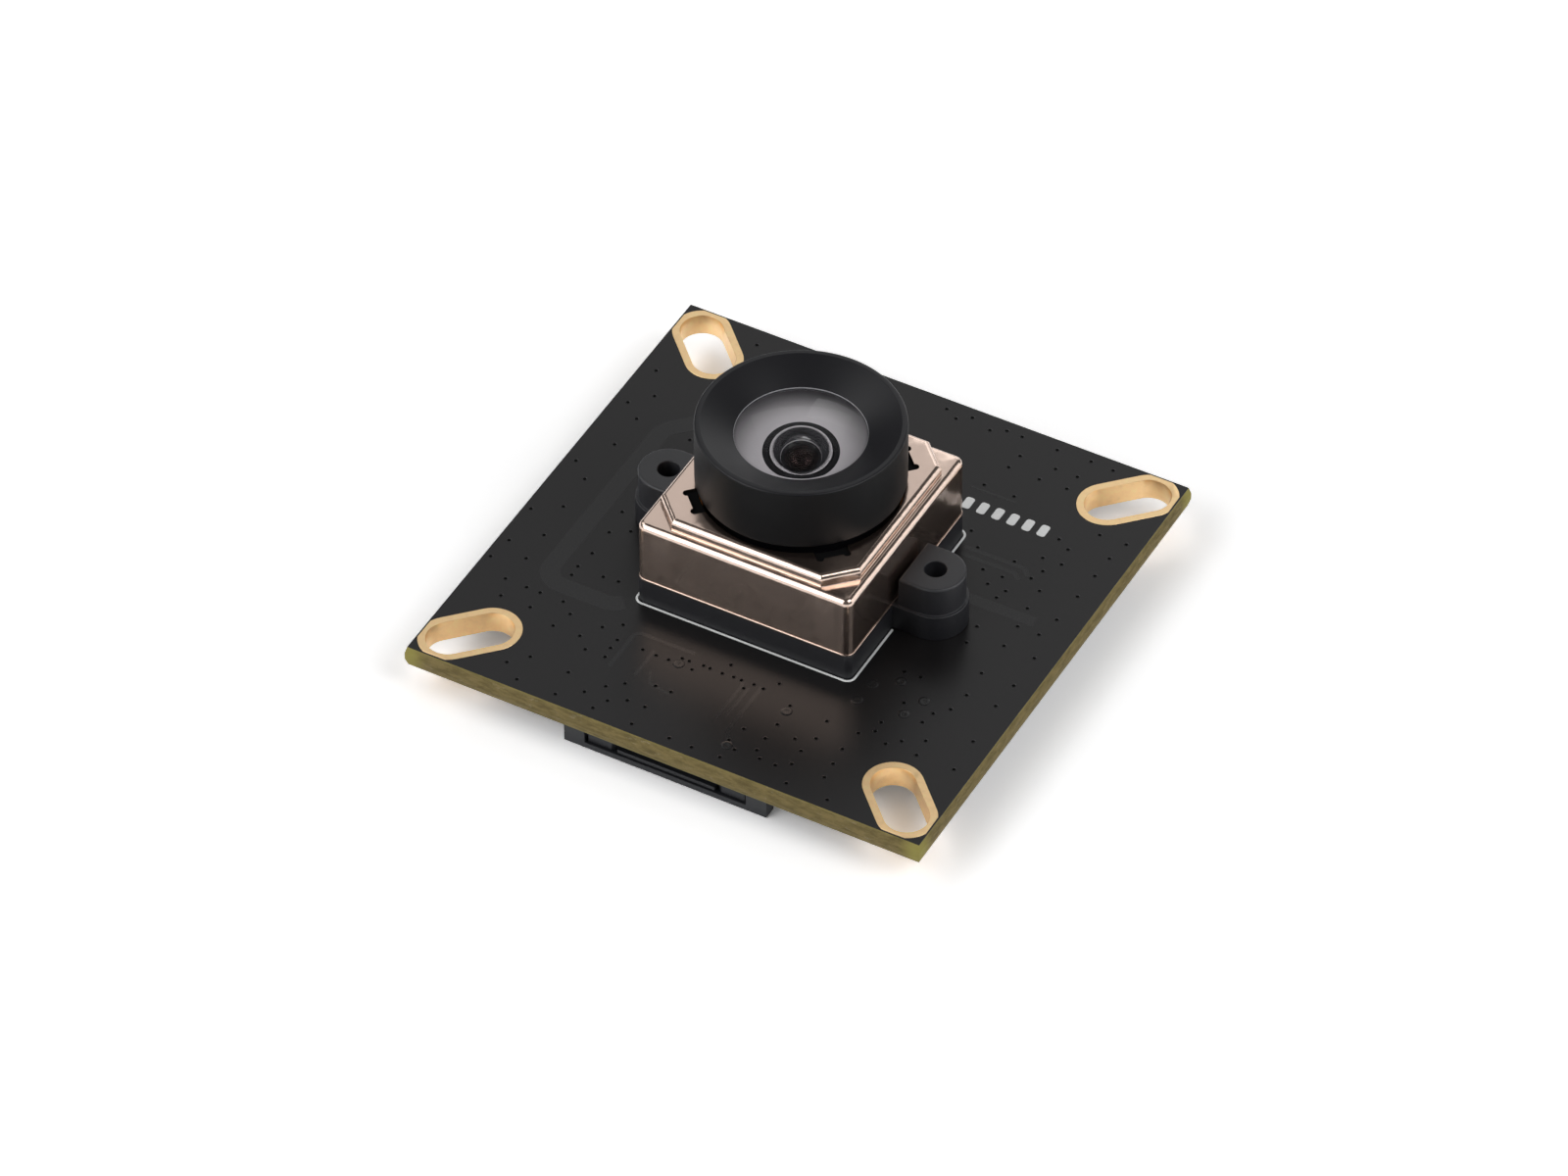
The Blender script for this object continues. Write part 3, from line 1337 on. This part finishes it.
@dataclass
class LensUnit:
    """The barrel, its lenses from the front glass back, and the carrier with its coil."""

    head: float = 7.0
    head_low: float = 12.0
    mouth: float = 6.6
    cone_depth: float = 1.05
    lip: float = 0.08
    aperture: float = 4.4
    bore: float = 5.0
    neck: float = 5.98
    edge: float = 0.1
    outer_edge: float = 0.18
    lens_radius: float = 4.97
    clear_radius: float = 4.38
    front_dome: float = 0.8
    play: float = 0.02
    hollow_radius: float = 1.86
    hollow: float = 1.45
    hollow_edge: float = 0.3
    second_rim: float = 1.6
    second_dome: float = 0.45
    lip_edge: float = 0.02
    edge_steps: int = 5
    hollow_steps: int = 48
    round_steps: int = 192
    second_round_steps: int = 96
    barrel_smooth_deg: float = 40.0
    side_margin: float = 0.02
    rim_margin: float = 0.05

    def build(self) -> None:
        """Builds the barrel and the glass that shows, and dresses the rest."""
        low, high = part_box("lens_barrel")
        top, bottom = high.z / MM, low.z / MM
        cone_low = top - self.cone_depth
        seat = cone_low - self.lip
        outline = [(self.neck, bottom), (self.neck, self.head_low), (self.head, self.head_low),
                   (self.head, top), (self.mouth, top), (self.aperture, cone_low),
                   (self.aperture, seat), (self.bore, seat), (self.bore, bottom)]
        roundings = {(self.head, top): self.outer_edge, (self.aperture, cone_low): self.lip_edge,
                     (self.aperture, seat): self.lip_edge}
        barrel = turned_piece("turned_barrel", eased(outline, self.edge, self.edge_steps, roundings),
                              self.round_steps, self.barrel_smooth_deg)
        paint(barrel, BARREL_ANODISE, BARREL_SIDE, APERTURE_LIP)
        side, lip = 1, 2
        for polygon in barrel.data.polygons:
            centre = polygon.center / MM
            reach = math.hypot(centre.x, centre.y)
            if reach > self.head - self.side_margin:
                polygon.material_index = side
            elif (reach < self.aperture + self.side_margin
                  and seat < centre.z < cone_low + self.lip_edge / 2):
                polygon.material_index = lip
        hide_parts("lens_barrel")
        settle(barrel, ON_LENS)
        self.front_glass()
        self.second_glass()
        paint_nodes(SPACER_BLACK, "front_spacer")
        paint_nodes(BAFFLE_BLACK, "aperture_stop", "rear_spacer", "rear_retaining_ring",
                    "lens_carrier")
        paint_nodes(COIL_COPPER, "focus_coil")
        paint_nodes(DEEP_GLASS, "third_element", "rear_element")

    def front_glass(self) -> None:
        """Builds the deeply hollowed front lens: polished faces, ground flange, blacked ring and rim."""
        low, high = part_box("front_element")
        rim = high.z / MM - self.front_dome - self.play / 2
        base = low.z / MM + self.play
        front = dome(self.clear_radius, self.front_dome, rim)
        hollow = dome(self.hollow_radius, self.hollow, base, self.hollow_steps)
        blacked = self.hollow_radius + self.hollow_edge
        outline = front + [(self.lens_radius, rim), (self.lens_radius, base), (blacked, base)]
        outline += list(reversed(hollow))
        glass = turned_piece("front_lens", outline, self.round_steps)
        paint(glass, FRONT_GLASS, GROUND_FLANGE, RIM_BLACKING, SPACER_BLACK)
        flange, blacked_rim, blacked_ring = 1, 2, 3
        for polygon in glass.data.polygons:
            centre = polygon.center / MM
            reach = math.hypot(centre.x, centre.y)
            if abs(centre.z - base) < LEVEL_MM and reach > self.hollow_radius:
                polygon.material_index = flange if reach > blacked else blacked_ring
            elif reach > self.lens_radius - self.rim_margin:
                polygon.material_index = blacked_rim
        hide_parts("front_element")
        settle(glass, ON_LENS)

    def second_glass(self) -> None:
        """Builds the domed second lens, blackened outside its clear aperture."""
        low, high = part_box("second_element")
        rim = high.z / MM - self.second_dome - self.play
        base = low.z / MM + self.play
        front = dome(self.second_rim, self.second_dome, rim)
        outline = front + [(self.lens_radius, rim), (self.lens_radius, base), (0.0, base)]
        glass = turned_piece("second_lens", outline, self.second_round_steps)
        paint(glass, INNER_GLASS, BAFFLE_BLACK)
        blacked = 1
        for polygon in glass.data.polygons:
            centre = polygon.center / MM
            if math.hypot(centre.x, centre.y) > self.second_rim and centre.z > base + LEVEL_MM:
                polygon.material_index = blacked
        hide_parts("second_element")
        settle(glass, ON_LENS)


@dataclass
class CableSocket:
    """The flat-cable socket below the front edge."""

    edge: float = 0.04

    def build(self) -> None:
        """Dresses the housing, the sliding lock and the metal."""
        housing = dressed_copy("cable_socket_housing", self.edge)
        paint(housing, SOCKET_POLYMER)
        settle(housing, ON_BOARD)
        slider = dressed_copy("cable_socket_slider", self.edge)
        paint(slider, SOCKET_POLYMER)
        settle(slider, ON_LOCK)
        paint_nodes(TINNED_METAL, "cable_socket_contacts", "cable_socket_tabs")


@dataclass
class UndersideParts:
    """The parts soldered below the board."""

    chip_pitch: float = 1.15
    chip_width: float = 0.5
    chip_length: float = 1.0
    turn: float = 0.8
    seed: int = 11
    # each row: x and y of its first chip, and the count of chips
    capacitor_rows: tuple = ((-5.5, -8.6, 6), (3.0, 9.4, 5), (-7.0, 9.4, 4))
    resistor_rows: tuple = ((3.6, -8.6, 5), (-3.0, 13.6, 6))

    def build(self) -> None:
        """Dresses the packages and sets the rows of chips."""
        paint_nodes(PACKAGE_EPOXY, "bulk_capacitor_left", "bulk_capacitor_right",
                    "voltage_regulators", "focus_driver")
        paint_nodes(OSCILLATOR_LID, "clock_oscillator")
        self.chips("chip_capacitors", CAPACITOR_CERAMIC, self.capacitor_rows)
        self.chips("chip_resistors", RESISTOR_GLAZE, self.resistor_rows)

    def chips(self, node: str, body: Finish, rows: tuple) -> None:
        """Sets one kind of chip in its rows, in place of the frame's plain blocks.

        Args:
            node: the frame node that they stand for.
            body: the finish between the plated ends.
            rows: first place and count of each row.
        """
        low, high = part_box(node)
        height = (high.z - low.z) / MM
        rings = chip_rings(self.chip_width, self.chip_length, height)
        # the fourth band, between the plated ends, is the body
        bands = [0, 0, 0, 1, 0, 0, 0, 0]
        chip = lofted_part(node + "_shape", rings, [TINNED_METAL, body], bands)
        places = [(x + index * self.chip_pitch, y) for x, y, count in rows for index in range(count)]
        spread = Spread(turn_deg=self.turn, seed=self.seed)
        piece = scatter(node + "_placed", places, BOARD_LOW, chip, spread)
        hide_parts(node)
        settle(piece, ON_BOARD)


@dataclass(frozen=True)
class Lamp:
    """A square soft lamp that faces the module."""

    name: str
    place_mm: Point
    side_mm: float
    watts: float

    def hang(self) -> None:
        """Adds the lamp to the scene."""
        data = bpy.data.lights.new(self.name, "AREA")
        data.shape = "SQUARE"
        data.size = self.side_mm * MM
        data.energy = self.watts
        place = Vector(self.place_mm)
        lamp = bpy.data.objects.new(self.name, data)
        lamp.location = place * MM
        lamp.rotation_mode = "QUATERNION"
        lamp.rotation_quaternion = (-place).to_track_quat("-Z", "Y")
        bpy.context.scene.collection.objects.link(lamp)


@dataclass
class LightTable:
    """A white sweep under soft light, and the camera at the photograph's viewpoint."""

    focal_px: float = 9295.3
    image_px: float = 1600.0
    azimuth: float = 28.979
    elevation: float = 43.916
    roll: float = -0.252
    distance: float = 601.592
    shift_right: float = 1.149
    shift_up: float = 1.426
    film_mm: float = 36.0
    clip_near_m: float = 0.01
    clip_far_m: float = 20.0
    world_strength: float = 0.06
    floor_half_mm: float = 4000.0
    floor_white: str = "#f4f4f6"
    floor_seen: tuple = (1.45, 1.45, 1.46, 1.0)
    floor_glow: float = 0.12
    sweep_near_mm: float = 120.0
    sweep_far_mm: float = 260.0
    lamps: tuple[Lamp, ...] = (
        Lamp("rear_left_panel", (-185, 335, 370), 360, 0.275),
        Lamp("front_left_panel", (-230, -350, 330), 340, 0.88),
        Lamp("front_low_strip", (-200, -500, 130), 150, 0.3),
        Lamp("left_key", (-400, -60, 380), 320, 0.45),
        Lamp("rear_card", (-60, 480, 200), 300, 0.3),
        Lamp("right_card", (440, 230, 150), 300, 0.4),
        Lamp("right_panel", (350, -30, 380), 300, 0.85),
    )

    def build(self) -> None:
        """Makes floor, world, lamps and camera."""
        self.floor()
        self.world()
        for lamp in self.lamps:
            lamp.hang()
        self.camera()
        bpy.context.scene.view_settings.view_transform = "Standard"

    def floor(self) -> None:
        """Lays the white floor."""
        size = self.floor_half_mm
        corners = [(-size, -size, 0), (size, -size, 0), (size, size, 0), (-size, size, 0)]
        mesh = bpy.data.meshes.new("floor")
        mesh.from_pydata([[c * MM for c in v] for v in corners], [], [(0, 1, 2, 3)])
        floor = bpy.data.objects.new("floor", mesh)
        bpy.context.scene.collection.objects.link(floor)
        mesh.materials.append(self.paper())

    def paper(self) -> bpy.types.Material:
        """Makes the floor's paper, which keeps the shadow, looks white and rises to white far away.

        Returns:
            The material.
        """
        material = bpy.data.materials.new("white_paper_sweep")
        material.use_nodes = True
        tree = material.node_tree
        tree.nodes.clear()
        paper = add_node(tree, "ShaderNodeBsdfDiffuse", {"Color": linear(self.floor_white)})
        bright = add_node(tree, "ShaderNodeBsdfDiffuse", {"Color": self.floor_seen})
        glow = add_node(tree, "ShaderNodeEmission", {"Color": WHITE, "Strength": self.floor_glow})
        path = add_node(tree, "ShaderNodeLightPath")
        first = add_node(tree, "ShaderNodeMath", {"operation": "MAXIMUM"},
                         {0: path.outputs["Is Camera Ray"], 1: path.outputs["Is Glossy Ray"]})
        seen = add_node(tree, "ShaderNodeMath", {"operation": "MAXIMUM"},
                        {0: first.outputs[0], 1: path.outputs["Is Transmission Ray"]})
        both = add_node(tree, "ShaderNodeAddShader", links={0: bright.outputs[0], 1: glow.outputs[0]})
        point = add_node(tree, "ShaderNodeTexCoord")
        reach = add_node(tree, "ShaderNodeVectorMath", {"operation": "LENGTH"},
                         {0: point.outputs["Object"]})
        rise = add_node(tree, "ShaderNodeMapRange",
                        {"From Min": self.sweep_near_mm * MM, "From Max": self.sweep_far_mm * MM,
                         "interpolation_type": "SMOOTHSTEP"}, {"Value": reach.outputs["Value"]})
        away = add_node(tree, "ShaderNodeMath", {"operation": "MULTIPLY"},
                        {0: rise.outputs[0], 1: path.outputs["Is Camera Ray"]})
        white = add_node(tree, "ShaderNodeEmission", {"Color": WHITE, "Strength": 1.0})
        near = add_node(tree, "ShaderNodeMixShader",
                        links={0: seen.outputs[0], 1: paper.outputs[0], 2: both.outputs[0]})
        mix = add_node(tree, "ShaderNodeMixShader",
                       links={0: away.outputs[0], 1: near.outputs[0], 2: white.outputs[0]})
        add_node(tree, "ShaderNodeOutputMaterial", links={"Surface": mix.outputs[0]})
        return material

    def world(self) -> None:
        """Sets the pale surroundings, white where the camera looks straight at them."""
        world = bpy.data.worlds.new("studio")
        bpy.context.scene.world = world
        world.use_nodes = True
        tree = world.node_tree
        tree.nodes.clear()
        soft = add_node(tree, "ShaderNodeBackground", {"Color": WHITE, "Strength": self.world_strength})
        white = add_node(tree, "ShaderNodeBackground", {"Color": WHITE, "Strength": 1.0})
        path = add_node(tree, "ShaderNodeLightPath")
        mix = add_node(tree, "ShaderNodeMixShader",
                       links={0: path.outputs["Is Camera Ray"], 1: soft.outputs[0],
                              2: white.outputs[0]})
        add_node(tree, "ShaderNodeOutputWorld", links={"Surface": mix.outputs[0]})

    def camera(self) -> None:
        """Places the camera at the photograph's viewpoint."""
        turn = math.radians(self.azimuth)
        lift = math.radians(self.elevation)
        back = Vector((math.sin(turn) * math.cos(lift), -math.cos(turn) * math.cos(lift), math.sin(lift)))
        level = Vector((math.cos(turn), math.sin(turn), 0.0))
        upright = back.cross(level)
        lean = math.radians(self.roll)
        right = level * math.cos(lean) + upright * math.sin(lean)
        up = upright * math.cos(lean) - level * math.sin(lean)
        spot = back * self.distance - right * self.shift_right - up * self.shift_up
        spot.z += BOARD_TOP
        data = bpy.data.cameras.new("viewpoint")
        data.sensor_width = self.film_mm
        data.lens = self.focal_px / self.image_px * data.sensor_width
        data.clip_start = self.clip_near_m
        data.clip_end = self.clip_far_m
        camera = bpy.data.objects.new("viewpoint", data)
        turned = Matrix((right, up, back)).transposed().to_4x4()
        camera.matrix_world = Matrix.Translation(spot * MM) @ turned
        bpy.context.scene.collection.objects.link(camera)
        bpy.context.scene.camera = camera


def main() -> None:
    """Builds the module piece by piece and keeps the two boxes that show its size."""
    logging.basicConfig(level=logging.INFO, format="%(name)s %(message)s")
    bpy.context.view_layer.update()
    CircuitBoard().build()
    SensorHolder().build()
    FocusCan().build()
    LensUnit().build()
    CableSocket().build()
    UndersideParts().build()
    LightTable().build()
    bpy.context.view_layer.update()


if __name__ == "__main__":
    main()
